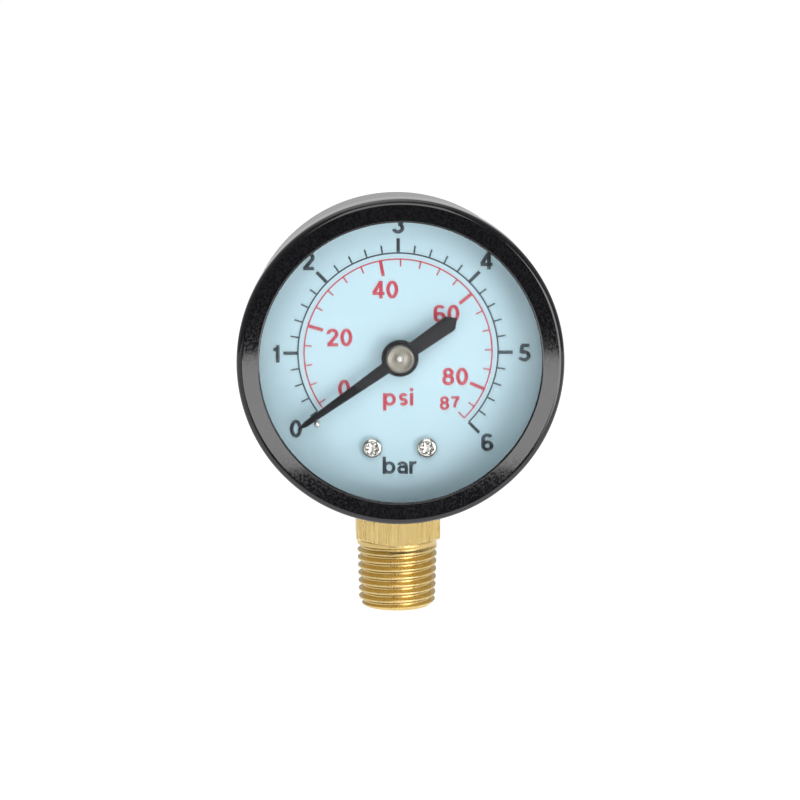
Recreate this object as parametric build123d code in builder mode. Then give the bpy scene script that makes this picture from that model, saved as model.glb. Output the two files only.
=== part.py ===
from build123d import *
from math import acos, asin, atan, cos, degrees, pi, radians, sin, sqrt, tan
import os

# A bottom-entry Bourdon-tube pressure gauge with a 53 mm push-on bezel and an R 1/4 taper thread.
# Millimetres. +X is to the right of the dial, +Z is up and the dial looks towards -Y.
# The origin is the centre of the stem's open end, where the pressure comes in.

# ---- threaded end and spanner flats ----
thread_pitch = 1.337
thread_start_r = 6.46
thread_taper = 1 / 16
thread_length = 10.6
thread_depth = 0.80
thread_root_flat = 0.16
thread_flank = 27.5
thread_overshoot = 0.12
thread_lead_in_turns = 2.0
thread_end_chamfer = 0.9
thread_end_r = 5.85
runout_length = 0.65
flats_width = 14.0
flats_chamfer_slope = 25.0
port_r = 2.0
port_depth = 14.0
channel_r = 0.9
branch_r = 0.6

# ---- case, bezel and window ----
exposed_stem = 18.4
case_r = 25.6
case_wall = 0.8
case_corner_r = 2.0
stem_hole_gap = 0.15
bezel_lip_cover = 2.8
bezel_thickness = 0.85
bezel_lip = 0.8
bezel_skirt = 6.0
bezel_shoulder_r = 1.0
bezel_gap = 0.05
window_thickness = 2.0
window_edge_gap = 0.3
gasket_thickness = 0.8
gasket_width = 1.8
plug_r = 4.0
plug_flange = 1.2
plug_flange_thickness = 0.9
plug_above_centre = 12.0

# ---- dial and pointer ----
spindle_above_centre = 0.2
dial_edge_gap = 0.2
dial_thickness = 0.5
dial_hole_r = 1.6
dial_notch_r = 0.35
dial_notch_angle = 277.0
spacer_length = 4.2
spacer_r = 1.8
dial_screw_r = 1.0
dial_screw_grip = 3.5
dial_screw_head_r = 1.75
dial_screw_head_height = 1.3
dial_screw_crown_r = 0.585
dial_screw_recess_r = 0.56
dial_screw_lobe_r = 0.245
dial_screw_lobes = 6
dial_screw_x = 4.5
dial_screw_below_top = 2.5
screw_clearance = 0.1
pointer_above_dial = 2.8
pointer_thickness = 0.4
pointer_disc_r = 3.03
pointer_margin = 4.1
pointer_root_width = 2.15
pointer_tip_width = 0.9
pointer_point = 1.6
pointer_tail_width = 2.7
pointer_tail_root_width = 2.2
pointer_tail_shoulder = 10.0
pointer_rest_angle = 215.1
hub_r = 2.29
hub_height = 1.1
hub_neck_r = 1.2
hub_barrel_r = 1.4
hub_barrel_length = 1.3
hub_to_window = 0.9
hub_dome_share = 0.45
spindle_end_depth = 0.15
stop_pin_r = 0.5
stop_pin_crown_r = 0.3
stop_pin_proud = 0.3
stop_pin_margin = 3.2
stop_pin_gap = 0.06
stop_pin_head_r = 0.9
stop_pin_head_height = 0.4

# ---- Bourdon tube ----
tube_case_gap = 4.2
tube_width = 8.0
tube_thickness = 3.2
tube_wall = 0.4
tube_root_x = -3.5
tube_end_angle = -20.0
tube_slot_arc = 40.0
solder_gap = 0.02
tip_thickness = 1.6
lug_thickness = 1.5
lug_back_y = 0.6
lug_eye_r = 1.3

# ---- movement ----
gear_module = 0.25
pressure_angle = 20.0
pinion_teeth = 10
sector_gear_teeth = 84
pinion_addendum = 0.25
pinion_dedendum = 0.25
sector_addendum = 0.15
sector_dedendum = 0.32
tooth_backlash = 0.03
flank_steps = 4
mesh_angle = -55.0
sector_turn = 31.5
sector_first_tooth = -9
sector_last_tooth = 2
sector_back_y = -0.2
sector_thickness = 0.8
sector_rim_width = 1.6
sector_hub_r = 2.2
sector_hub_web = 0.9
sector_spoke_angle = 7.0
sector_tail_r = 4.8
sector_eye_r = 1.1
sector_tail_root_r = 1.54
pinion_back_y = 0.3
pinion_length = 1.9
back_plate_rear_y = 2.5
plate_thickness = 1.0
plate_spacing = 5.5
plate_edge_r = 2.6
pillar_r = 1.5
pillar_tenon_r = 0.8
pillar_places = [(5.0, 5.3), (-7.5, -5.2)]
plate_screw_r = 0.7
plate_screw_head_r = 1.3
plate_screw_head_height = 0.8
plate_screw_grip = 1.5
spindle_pivot_r = 0.5
spindle_body_r = 0.9
spindle_neck_r = 0.75
spindle_seat_r = 0.62
spindle_end_r = 0.45
sector_shaft_r = 1.0
sector_pivot_r = 0.5
pivot_gap = 0.03
seat_gap = 0.01
end_shake = 0.08
link_length = 5.5
link_back_y = -1.3
link_thickness = 0.6
link_eye_r = 1.2
link_waist = 1.1
link_pin_r = 0.45
link_pin_head_r = 1.0
link_pin_head_height = 0.4
open_pivot_gap = 0.27
movement_screw_places = [(-3.8, 3.3), (1.5, 3.3)]
movement_screw_r = 1.0
movement_screw_head_r = 1.7
movement_screw_head_height = 1.0
movement_screw_end_wall = 1.5
tongue_width = 12.0
tongue_height = 6.5
block_below_spindle = 12.7
hairspring_back_y = -2.7
hairspring_height = 0.6
hairspring_strip = 0.12
hairspring_turns = 5
hairspring_points_per_turn = 12
hairspring_outer_r = 4.6
hairspring_end_angle = 150.0
collet_r = 1.5
collet_height = 0.9
stud_r = 0.45

# ---- screws through the back of the case ----
case_screw_x = 4.2
case_screw_below_top = 5.5
case_screw_r = 1.5
case_screw_head_r = 2.3
case_screw_head_height = 1.2
case_screw_tube_gap = 0.4
slot_width = 0.6
slot_depth = 0.5

# ---- what follows from the sizes above ----
block_half = flats_width / 2
case_inner_r = case_r - case_wall
case_z = exposed_stem + case_r
case_inner_back_y = block_half
case_back_y = case_inner_back_y + case_wall
spindle_z = case_z + spindle_above_centre
block_top_z = spindle_z - block_below_spindle

dial_back_y = -block_half - spacer_length
dial_front_y = dial_back_y - dial_thickness
dial_r = case_inner_r - dial_edge_gap
dial_screw_z = block_top_z - dial_screw_below_top
pointer_back_y = dial_front_y - pointer_above_dial
pointer_front_y = pointer_back_y - pointer_thickness
pointer_length = dial_r - pointer_margin
hub_front_y = pointer_front_y - hub_height
hub_rear_y = pointer_back_y + hub_barrel_length
window_back_y = hub_front_y - hub_to_window
window_front_y = window_back_y - window_thickness
rim_y = window_back_y + gasket_thickness
bezel_front_y = window_front_y - bezel_lip
bezel_inner_r = case_r + bezel_gap
bezel_r = bezel_inner_r + bezel_thickness
window_r = case_r - window_edge_gap
window_opening_r = bezel_inner_r - bezel_lip_cover - bezel_gap

tube_bend_r = case_inner_r - tube_case_gap - tube_thickness / 2
tube_root_angle = 270 - degrees(asin(-tube_root_x / tube_bend_r))
tube_arc = tube_root_angle - tube_end_angle

pinion_pitch_r = gear_module * pinion_teeth / 2
sector_pitch_r = gear_module * sector_gear_teeth / 2
centre_distance = pinion_pitch_r + sector_pitch_r
sector_x = centre_distance * cos(radians(mesh_angle))
sector_z = spindle_z + centre_distance * sin(radians(mesh_angle))
tail_rest_angle = -sector_turn / 2
tail_x = sector_x + sector_tail_r * cos(radians(tail_rest_angle))
tail_z = sector_z + sector_tail_r * sin(radians(tail_rest_angle))
tip_pin_z = tail_z + link_length
tooth_pitch_angle = 360 / sector_gear_teeth
back_plate_front_y = back_plate_rear_y - plate_thickness
front_plate_rear_y = back_plate_front_y - plate_spacing
front_plate_front_y = front_plate_rear_y - plate_thickness
link_front_y = link_back_y - link_thickness


def front_plane(y, x=0.0, z=0.0, angle=0.0):
    """A plane that faces the reader of the dial at depth y; its x axis is turned by angle degrees."""
    return Plane(
        origin=(x, y, z),
        x_dir=(cos(radians(angle)), 0, sin(radians(angle))),
        z_dir=(0, -1, 0),
    )


def turning_plane(x, z):
    """A plane through a lathe axis along Y: its x is the depth Y, its y is the radius."""
    return Plane(origin=(x, 0, z), x_dir=(0, 1, 0), z_dir=(1, 0, 0))


def turning_axis(x, z):
    """The lathe axis along Y through x, z; a positive turn is clockwise for the reader."""
    return Axis((x, 0, z), (0, 1, 0))


def tube_plane(angle):
    """The plane across the Bourdon tube at an angle, with x outwards and y along Y."""
    across = radians(angle)
    return Plane(
        origin=(0, 0, case_z),
        x_dir=(cos(across), 0, sin(across)),
        z_dir=(-sin(across), 0, cos(across)),
    )


def flank_angle(pressure):
    """The involute of a pressure angle, both in radians."""
    return tan(pressure) - pressure


def tooth_points(pitch_r, tip_r, root_r):
    """One involute tooth along +x, from just under the root circle to the tip."""
    base_r = pitch_r * cos(radians(pressure_angle))
    half_thickness = (pi * gear_module / 2 - tooth_backlash) / 2
    start_r = max(base_r, root_r)
    rise = (tip_r - start_r) / flank_steps
    radii = [start_r + rise * step for step in range(flank_steps + 1)]
    half_angles = [
        half_thickness / pitch_r
        + flank_angle(radians(pressure_angle))
        - flank_angle(acos(base_r / r))
        for r in radii
    ]
    foot_r = root_r - gear_module / 4
    upper = [(foot_r, half_angles[0])] + list(zip(radii, half_angles))
    lower = [(r, -half_angle) for r, half_angle in reversed(upper)]
    return [(r * cos(a), r * sin(a)) for r, a in upper + lower]


def cylinder_between(y_back, y_front, radius, x, z, mode=Mode.ADD):
    """A round bar or hole along Y from y_back towards the reader to y_front."""
    with BuildSketch(front_plane(y_back, x, z)) as disc:
        Circle(radius)
    extrude(disc.sketch, amount=y_back - y_front, mode=mode)


# ---- stem: threaded end, spanner flats, block and tongue in one brass piece ----
thread_slope = thread_taper / 2
runout_z = thread_length + runout_length
runout_r = thread_start_r + runout_z * thread_slope
corner_r = block_half * sqrt(2)
chamfer_top_z = runout_z + (corner_r - runout_r) * tan(radians(flats_chamfer_slope))
chamfer_end_r = thread_start_r + thread_end_chamfer * thread_slope
chamfer_growth = (chamfer_end_r - thread_end_r) / thread_end_chamfer
groove_start_z = -thread_lead_in_turns * thread_pitch
groove_start_r = thread_start_r + groove_start_z * thread_slope
groove_height = thread_length - groove_start_z
groove_outer_depth = thread_depth + thread_overshoot
groove_outer_half = thread_root_flat / 2 + groove_outer_depth * tan(radians(thread_flank))

with BuildPart() as spanner_block:
    with BuildSketch(Plane.XY.offset(runout_z)):
        Rectangle(flats_width, flats_width)
    extrude(amount=block_top_z - runout_z)
    with BuildSketch(Plane.XZ):
        with BuildLine():
            Polyline(
                (0, runout_z),
                (runout_r, runout_z),
                (corner_r, chamfer_top_z),
                (corner_r, block_top_z),
                (0, block_top_z),
                close=True,
            )
        make_face()
    revolve(axis=Axis.Z, mode=Mode.INTERSECT)

with BuildPart() as stem:
    Cone(thread_start_r, runout_r, runout_z, align=(Align.CENTER, Align.CENTER, Align.MIN))
    # The helical groove of the taper thread starts two turns below the open end.
    with BuildLine() as groove_path:
        Helix(
            thread_pitch,
            groove_height,
            groove_start_r,
            center=(0, 0, groove_start_z),
            cone_angle=degrees(atan(thread_slope)),
        )
    with BuildSketch(Plane(groove_path.line @ 0, x_dir=(1, 0, 0), z_dir=groove_path.line % 0)):
        with BuildLine():
            Polyline(
                (-thread_depth, -thread_root_flat / 2),
                (thread_overshoot, -groove_outer_half),
                (thread_overshoot, groove_outer_half),
                (-thread_depth, thread_root_flat / 2),
                close=True,
            )
        make_face()
    sweep(path=groove_path.line, is_frenet=True, mode=Mode.SUBTRACT)
    # The chamfer at the open end is turned after the thread.
    with BuildSketch(Plane.XZ):
        with BuildLine():
            Polyline(
                (0, 0),
                (thread_end_r, 0),
                (thread_end_r + chamfer_growth * runout_z, runout_z),
                (0, runout_z),
                close=True,
            )
        make_face()
    revolve(axis=Axis.Z, mode=Mode.INTERSECT)
    add(spanner_block.part)
    # The tongue behind the block carries the movement.
    with BuildSketch(Plane.XY.offset(block_top_z)):
        with Locations((0, (back_plate_rear_y + block_half) / 2)):
            Rectangle(tongue_width, block_half - back_plate_rear_y)
    extrude(amount=tongue_height)
    # Pressure port, the finer channel above it and the branch to the tube's root.
    tube_root_z = case_z + tube_bend_r * sin(radians(tube_root_angle))
    with BuildSketch(Plane.XY):
        Circle(port_r)
    extrude(amount=port_depth, mode=Mode.SUBTRACT)
    with BuildSketch(Plane.XY.offset(port_depth)):
        Circle(channel_r)
    extrude(amount=tube_root_z + branch_r - port_depth, mode=Mode.SUBTRACT)
    with BuildSketch(Plane.YZ.offset(tube_root_x)):
        with Locations((0, tube_root_z)):
            Circle(branch_r)
    extrude(amount=-tube_root_x, mode=Mode.SUBTRACT)
    # The slot that the tube's root is soldered into.
    with BuildSketch(tube_plane(tube_root_angle)):
        with Locations((tube_bend_r, 0)):
            SlotOverall(tube_width + 2 * solder_gap, tube_thickness + 2 * solder_gap, rotation=90)
    revolve(axis=turning_axis(0, case_z), revolution_arc=tube_slot_arc, mode=Mode.SUBTRACT)
    for x in (-dial_screw_x, dial_screw_x):
        tapped_y = dial_screw_grip + seat_gap - block_half
        cylinder_between(tapped_y, -block_half, dial_screw_r + seat_gap, x, dial_screw_z, Mode.SUBTRACT)
    case_screw_z = block_top_z - case_screw_below_top
    case_screw_tip_y = tube_width / 2 + case_screw_tube_gap
    for x in (-case_screw_x, case_screw_x):
        screw_hole_r = case_screw_r + seat_gap
        cylinder_between(
            block_half, case_screw_tip_y - seat_gap, screw_hole_r, x, case_screw_z, Mode.SUBTRACT
        )
    movement_screw_tip_y = block_half - movement_screw_end_wall
    for x, up in movement_screw_places:
        cylinder_between(
            movement_screw_tip_y + seat_gap,
            back_plate_rear_y,
            movement_screw_r + seat_gap,
            x,
            block_top_z + up,
            Mode.SUBTRACT,
        )
stem.part.label = "stem"

# ---- case: a drawn cup with a square hole for the stem ----
with BuildPart() as case:
    with BuildSketch(turning_plane(0, case_z)):
        with BuildLine():
            Polyline(
                (rim_y, case_r),
                (case_back_y, case_r),
                (case_back_y, 0),
                (case_inner_back_y, 0),
                (case_inner_back_y, case_inner_r),
                (rim_y, case_inner_r),
                close=True,
            )
        make_face()
    revolve(axis=turning_axis(0, case_z))
    back_rims = case.edges().filter_by(GeomType.CIRCLE).group_by(Axis.Y)
    outer_rim = back_rims[-1].sort_by(SortBy.RADIUS)[-1]
    inner_rim = back_rims[-2].sort_by(SortBy.RADIUS)[-1]
    fillet(outer_rim, radius=case_corner_r)
    fillet(inner_rim, radius=case_corner_r - case_wall)
    hole_half = block_half + stem_hole_gap
    with BuildSketch(Plane.XY.offset(exposed_stem - case_wall)):
        with Locations((0, (case_inner_back_y - hole_half) / 2)):
            Rectangle(2 * hole_half, case_inner_back_y + hole_half)
    extrude(amount=block_top_z - exposed_stem, mode=Mode.SUBTRACT)
    plug_z = case_z + plug_above_centre
    cylinder_between(case_back_y, case_inner_back_y, plug_r, 0, plug_z, Mode.SUBTRACT)
    for x in (-case_screw_x, case_screw_x):
        clear_r = case_screw_r + screw_clearance
        cylinder_between(case_back_y, case_inner_back_y, clear_r, x, case_screw_z, Mode.SUBTRACT)
case.part.label = "case"

# ---- bezel: a push-on ring with a flat face and a rounded shoulder ----
with BuildPart() as bezel:
    with BuildSketch(turning_plane(0, case_z)):
        with BuildLine():
            shoulder_y = bezel_front_y + bezel_shoulder_r
            skirt_end_y = bezel_front_y + bezel_skirt
            Polyline(
                (bezel_front_y, bezel_r - bezel_shoulder_r),
                (bezel_front_y, window_opening_r),
                (window_front_y, window_opening_r),
                (window_front_y, bezel_inner_r),
                (skirt_end_y, bezel_inner_r),
                (skirt_end_y, bezel_r),
                (shoulder_y, bezel_r),
            )
            RadiusArc((shoulder_y, bezel_r), (bezel_front_y, bezel_r - bezel_shoulder_r), -bezel_shoulder_r)
        make_face()
    revolve(axis=turning_axis(0, case_z))
bezel.part.label = "bezel"

with BuildPart() as window:
    cylinder_between(window_back_y, window_front_y, window_r, 0, case_z)
window.part.label = "window"

with BuildPart() as window_gasket:
    cylinder_between(rim_y, window_back_y, window_r, 0, case_z)
    cylinder_between(rim_y, window_back_y, window_r - gasket_width, 0, case_z, Mode.SUBTRACT)
window_gasket.part.label = "window_gasket"

# ---- rubber relief plug in the back of the case ----
with BuildPart() as blowout_plug:
    with BuildSketch(turning_plane(0, plug_z)):
        with BuildLine():
            neck_r = plug_r - seat_gap
            flange_r = plug_r + plug_flange
            Polyline(
                (case_back_y + plug_flange_thickness, 0),
                (case_back_y + plug_flange_thickness, flange_r - plug_flange_thickness / 2),
                (case_back_y + plug_flange_thickness / 2, flange_r),
                (case_back_y, flange_r),
                (case_back_y, neck_r),
                (case_inner_back_y, neck_r),
                (case_inner_back_y, neck_r + plug_flange / 2),
                (case_inner_back_y - plug_flange_thickness, neck_r - plug_flange / 2),
                (case_inner_back_y - plug_flange_thickness, 0),
                close=True,
            )
        make_face()
    revolve(axis=turning_axis(0, plug_z))
blowout_plug.part.label = "blowout_plug"

# ---- dial, its screws and spacers, and the stop pin ----
pointer_reach = pointer_length - pointer_point
pin_place_r = pointer_length - stop_pin_margin
pointer_taper = (pointer_root_width - pointer_tip_width) / 2 / pointer_reach
pointer_half_at_pin = pointer_root_width / 2 - pointer_taper * pin_place_r
pin_offset = pointer_half_at_pin + stop_pin_r + stop_pin_gap
pin_angle = radians(pointer_rest_angle + degrees(asin(pin_offset / pin_place_r)))
pin_x = pin_place_r * cos(pin_angle)
pin_z = spindle_z + pin_place_r * sin(pin_angle)
notch_angle = radians(dial_notch_angle)

with BuildPart() as dial:
    cylinder_between(dial_back_y, dial_front_y, dial_r, 0, case_z)
    cylinder_between(dial_back_y, dial_front_y, dial_hole_r, 0, spindle_z, Mode.SUBTRACT)
    cylinder_between(dial_back_y, dial_front_y, stop_pin_r + seat_gap, pin_x, pin_z, Mode.SUBTRACT)
    notch_x = dial_r * cos(notch_angle)
    notch_z = case_z + dial_r * sin(notch_angle)
    cylinder_between(dial_back_y, dial_front_y, dial_notch_r, notch_x, notch_z, Mode.SUBTRACT)
    for x in (-dial_screw_x, dial_screw_x):
        clear_r = dial_screw_r + screw_clearance
        cylinder_between(dial_back_y, dial_front_y, clear_r, x, dial_screw_z, Mode.SUBTRACT)
dial.part.label = "dial"

with BuildPart() as dial_spacers:
    for x in (-dial_screw_x, dial_screw_x):
        cylinder_between(-block_half, dial_back_y, spacer_r, x, dial_screw_z)
        clear_r = dial_screw_r + screw_clearance
        cylinder_between(-block_half, dial_back_y, clear_r, x, dial_screw_z, Mode.SUBTRACT)
dial_spacers.part.label = "dial_spacers"

with BuildPart() as dial_screws:
    head_front_y = dial_front_y - dial_screw_head_height
    for x in (-dial_screw_x, dial_screw_x):
        cylinder_between(dial_screw_grip - block_half, dial_front_y, dial_screw_r, x, dial_screw_z)
        cylinder_between(dial_front_y, head_front_y, dial_screw_head_r, x, dial_screw_z)
    head_edges = dial_screws.edges().filter_by(GeomType.CIRCLE).group_by(Axis.Y)[0]
    fillet(head_edges, radius=dial_screw_crown_r)
    for x in (-dial_screw_x, dial_screw_x):
        with BuildSketch(front_plane(head_front_y + slot_depth, x, dial_screw_z)):
            Circle(dial_screw_recess_r)
            with PolarLocations(dial_screw_recess_r, dial_screw_lobes):
                Circle(dial_screw_lobe_r)
        extrude(amount=slot_depth, mode=Mode.SUBTRACT)
dial_screws.part.label = "dial_screws"

with BuildPart() as stop_pin:
    pin_front_y = pointer_front_y - stop_pin_proud
    cylinder_between(dial_back_y, pin_front_y, stop_pin_r, pin_x, pin_z)
    pin_top = stop_pin.edges().filter_by(GeomType.CIRCLE).group_by(Axis.Y)[0]
    fillet(pin_top, radius=stop_pin_crown_r)
    cylinder_between(dial_back_y + stop_pin_head_height, dial_back_y, stop_pin_head_r, pin_x, pin_z)
stop_pin.part.label = "stop_pin"

# ---- pointer, its hub and the spindle that carries them ----
hub_seat_length = hub_rear_y - hub_front_y
spindle_end_y = hub_front_y + spindle_end_depth
seat_taper = (spindle_seat_r - spindle_end_r) / hub_seat_length

with BuildPart() as pointer:
    with BuildSketch(front_plane(pointer_back_y, 0, spindle_z, pointer_rest_angle)):
        Circle(pointer_disc_r)
        tail_tip = pointer_tail_shoulder + pointer_tail_width / 2
        with BuildLine():
            Polyline(
                (0, -pointer_root_width / 2),
                (pointer_reach, -pointer_tip_width / 2),
                (pointer_length, 0),
                (pointer_reach, pointer_tip_width / 2),
                (0, pointer_root_width / 2),
                (0, pointer_tail_root_width / 2),
                (-pointer_tail_shoulder, pointer_tail_width / 2),
                (-tail_tip, 0),
                (-pointer_tail_shoulder, -pointer_tail_width / 2),
                (0, -pointer_tail_root_width / 2),
                close=True,
            )
        make_face()
        Circle(hub_neck_r + seat_gap, mode=Mode.SUBTRACT)
    extrude(amount=pointer_thickness)
pointer.part.label = "pointer"

with BuildPart() as pointer_hub:
    with BuildSketch(turning_plane(0, spindle_z)):
        with BuildLine():
            hub_edge_y = pointer_front_y - hub_height * hub_dome_share
            bore_end_r = spindle_end_r + seat_gap
            bore_start_r = spindle_seat_r + seat_gap
            crown_r = hub_r * hub_dome_share
            Polyline(
                (hub_front_y, bore_end_r),
                (hub_rear_y, bore_start_r),
                (hub_rear_y, hub_barrel_r),
                (pointer_back_y, hub_barrel_r),
                (pointer_back_y, hub_neck_r),
                (pointer_front_y, hub_neck_r),
                (pointer_front_y, hub_r),
                (hub_edge_y, hub_r),
            )
            Spline(
                (hub_edge_y, hub_r),
                (hub_front_y, crown_r),
                tangents=[(-1, 0), (0, -1)],
            )
            Line((hub_front_y, crown_r), (hub_front_y, bore_end_r))
        make_face()
    revolve(axis=turning_axis(0, spindle_z))
pointer_hub.part.label = "pointer_hub"

with BuildPart() as pinion_shaft:
    with BuildSketch(turning_plane(0, spindle_z)):
        with BuildLine():
            Polyline(
                (back_plate_rear_y, 0),
                (back_plate_rear_y, spindle_pivot_r),
                (back_plate_front_y - end_shake, spindle_pivot_r),
                (back_plate_front_y - end_shake, spindle_body_r),
                (front_plate_rear_y + end_shake, spindle_body_r),
                (front_plate_rear_y + end_shake, spindle_neck_r),
                (hub_rear_y + end_shake, spindle_neck_r),
                (hub_rear_y + end_shake, spindle_seat_r),
                (hub_rear_y, spindle_seat_r),
                (spindle_end_y, spindle_end_r + seat_taper * (spindle_end_y - hub_front_y)),
                (spindle_end_y, 0),
                close=True,
            )
        make_face()
    revolve(axis=turning_axis(0, spindle_z))
    # A gap between two pinion teeth faces the sector, and the teeth stand around it.
    first_gap = mesh_angle + 180 / pinion_teeth
    with BuildSketch(front_plane(pinion_back_y, 0, spindle_z, first_gap)):
        Circle(pinion_pitch_r - pinion_dedendum)
        with PolarLocations(0, pinion_teeth):
            Polygon(
                *tooth_points(
                    pinion_pitch_r,
                    pinion_pitch_r + pinion_addendum,
                    pinion_pitch_r - pinion_dedendum,
                ),
                align=None,
            )
    extrude(amount=pinion_length)
pinion_shaft.part.label = "pinion_shaft"

# ---- sector: teeth, fan, hub and tail, on its own shaft ----
with BuildPart() as sector:
    rim_outer_r = sector_pitch_r - sector_dedendum
    rim_inner_r = rim_outer_r - sector_rim_width
    first_tooth = mesh_angle + 180 + sector_first_tooth * tooth_pitch_angle
    tooth_span = (sector_last_tooth - sector_first_tooth) * tooth_pitch_angle
    fan_start = first_tooth - tooth_pitch_angle / 2
    fan_arc = tooth_span + tooth_pitch_angle
    fan_end = fan_start + fan_arc
    window_start = radians(fan_start + sector_spoke_angle)
    window_end = radians(fan_end - sector_spoke_angle)
    with BuildSketch(front_plane(sector_back_y, sector_x, sector_z)):
        with BuildLine():
            CenterArc((0, 0), rim_outer_r, fan_start, fan_arc)
            Line((0, 0), PolarLine((0, 0), rim_outer_r, fan_start, mode=Mode.PRIVATE) @ 1)
            Line((0, 0), PolarLine((0, 0), rim_outer_r, fan_end, mode=Mode.PRIVATE) @ 1)
        make_face()
        with BuildLine():
            window_inner_r = sector_hub_r + sector_hub_web
            window_arc = fan_arc - 2 * sector_spoke_angle
            for radius in (rim_inner_r, window_inner_r):
                CenterArc((0, 0), radius, fan_start + sector_spoke_angle, window_arc)
            for edge in (window_start, window_end):
                inner = (window_inner_r * cos(edge), window_inner_r * sin(edge))
                outer = (rim_inner_r * cos(edge), rim_inner_r * sin(edge))
                Line(inner, outer)
        make_face(mode=Mode.SUBTRACT)
        Circle(sector_hub_r)
        with PolarLocations(
            0,
            sector_last_tooth - sector_first_tooth + 1,
            start_angle=first_tooth,
            angular_range=tooth_span,
            endpoint=True,
        ):
            Polygon(
                *tooth_points(
                    sector_pitch_r,
                    sector_pitch_r + sector_addendum,
                    rim_outer_r,
                ),
                align=None,
            )
        tail_place = (tail_x - sector_x, tail_z - sector_z)
        with BuildSketch(mode=Mode.PRIVATE) as tail_ends:
            Circle(sector_tail_root_r)
            with Locations(tail_place):
                Circle(sector_eye_r)
        add(make_hull(tail_ends.edges(), mode=Mode.PRIVATE))
        Circle(sector_shaft_r + seat_gap, mode=Mode.SUBTRACT)
        with Locations(tail_place):
            Circle(link_pin_r + seat_gap, mode=Mode.SUBTRACT)
    extrude(amount=sector_thickness)
sector.part.label = "sector"

with BuildPart() as sector_shaft:
    with BuildSketch(turning_plane(sector_x, sector_z)):
        with BuildLine():
            Polyline(
                (back_plate_rear_y, 0),
                (back_plate_rear_y, sector_pivot_r),
                (back_plate_front_y - end_shake, sector_pivot_r),
                (back_plate_front_y - end_shake, sector_shaft_r),
                (front_plate_rear_y + end_shake, sector_shaft_r),
                (front_plate_rear_y + end_shake, sector_pivot_r),
                (front_plate_front_y, sector_pivot_r),
                (front_plate_front_y, 0),
                close=True,
            )
        make_face()
    revolve(axis=turning_axis(sector_x, sector_z))
sector_shaft.part.label = "sector_shaft"

# ---- link between the sector's tail and the tube's tip, with its two pins ----
with BuildPart() as link:
    with BuildSketch(front_plane(link_back_y)):
        with Locations((tail_x, tail_z), (tail_x, tip_pin_z)):
            Circle(link_eye_r)
        with Locations((tail_x, (tail_z + tip_pin_z) / 2)):
            Rectangle(link_waist, link_length)
        with Locations((tail_x, tail_z)):
            Circle(link_pin_r + pivot_gap, mode=Mode.SUBTRACT)
        with Locations((tail_x, tip_pin_z)):
            Circle(link_pin_r + open_pivot_gap, mode=Mode.SUBTRACT)
    extrude(amount=link_thickness)
link.part.label = "link"

pin_head_y = link_front_y - end_shake

with BuildPart() as sector_pin:
    cylinder_between(sector_back_y, pin_head_y, link_pin_r, tail_x, tail_z)
    head_end_y = pin_head_y - link_pin_head_height
    cylinder_between(pin_head_y, head_end_y, link_pin_head_r, tail_x, tail_z)
sector_pin.part.label = "sector_pin"

with BuildPart() as tip_pin:
    cylinder_between(lug_back_y, pin_head_y, link_pin_r, tail_x, tip_pin_z)
    cylinder_between(pin_head_y, head_end_y, link_pin_head_r, tail_x, tip_pin_z)
tip_pin.part.label = "tip_pin"

# ---- Bourdon tube and the brass piece that closes its free end ----
with BuildPart() as bourdon_tube:
    with BuildSketch(tube_plane(tube_root_angle)):
        with Locations((tube_bend_r, 0)):
            SlotOverall(tube_width, tube_thickness, rotation=90)
            bore_width = tube_width - 2 * tube_wall
            bore_thickness = tube_thickness - 2 * tube_wall
            SlotOverall(bore_width, bore_thickness, rotation=90, mode=Mode.SUBTRACT)
    revolve(axis=turning_axis(0, case_z), revolution_arc=tube_arc)
bourdon_tube.part.label = "bourdon_tube"

with BuildPart() as tube_tip:
    with BuildSketch(tube_plane(tube_end_angle).offset(-solder_gap)):
        with Locations((tube_bend_r, 0)):
            SlotOverall(tube_width, tube_thickness, rotation=90)
    extrude(amount=-tip_thickness)
    end_tangent = radians(tube_end_angle - 90)
    lug_root_back = solder_gap + tip_thickness / 2
    lug_root_r = tube_bend_r - tube_thickness / 4
    end_angle = radians(tube_end_angle)
    lug_root_x = lug_root_r * cos(end_angle) + lug_root_back * cos(end_tangent)
    lug_root_z = case_z + lug_root_r * sin(end_angle) + lug_root_back * sin(end_tangent)
    with BuildSketch(front_plane(lug_back_y)):
        with BuildSketch(front_plane(lug_back_y), mode=Mode.PRIVATE) as lug_ends:
            with Locations((tail_x, tip_pin_z)):
                Circle(lug_eye_r)
            with Locations((lug_root_x, lug_root_z)):
                Circle(tip_thickness / 2 - solder_gap)
        make_hull(lug_ends.sketch_local.edges())
        with Locations((tail_x, tip_pin_z)):
            Circle(link_pin_r + seat_gap, mode=Mode.SUBTRACT)
    extrude(amount=lug_thickness)
tube_tip.part.label = "tube_tip"

# ---- movement plates, pillars and their screws ----
movement_points = [(x, spindle_z + up) for x, up in pillar_places]
foot_points = [(x, block_top_z + up) for x, up in movement_screw_places]
arbor_points = [(0, spindle_z), (sector_x, sector_z)]

with BuildPart() as movement_back_plate:
    with BuildSketch(front_plane(back_plate_rear_y)):
        with BuildSketch(front_plane(back_plate_rear_y), mode=Mode.PRIVATE) as back_ends:
            with Locations(*movement_points, *foot_points, *arbor_points):
                Circle(plate_edge_r)
        make_hull(back_ends.sketch_local.edges())
        with Locations(*movement_points):
            Circle(pillar_tenon_r + seat_gap, mode=Mode.SUBTRACT)
        with Locations(*foot_points):
            Circle(movement_screw_r + screw_clearance, mode=Mode.SUBTRACT)
        with Locations((0, spindle_z)):
            Circle(spindle_pivot_r + pivot_gap, mode=Mode.SUBTRACT)
        with Locations((sector_x, sector_z)):
            Circle(sector_pivot_r + pivot_gap, mode=Mode.SUBTRACT)
    extrude(amount=plate_thickness)
movement_back_plate.part.label = "movement_back_plate"

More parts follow.
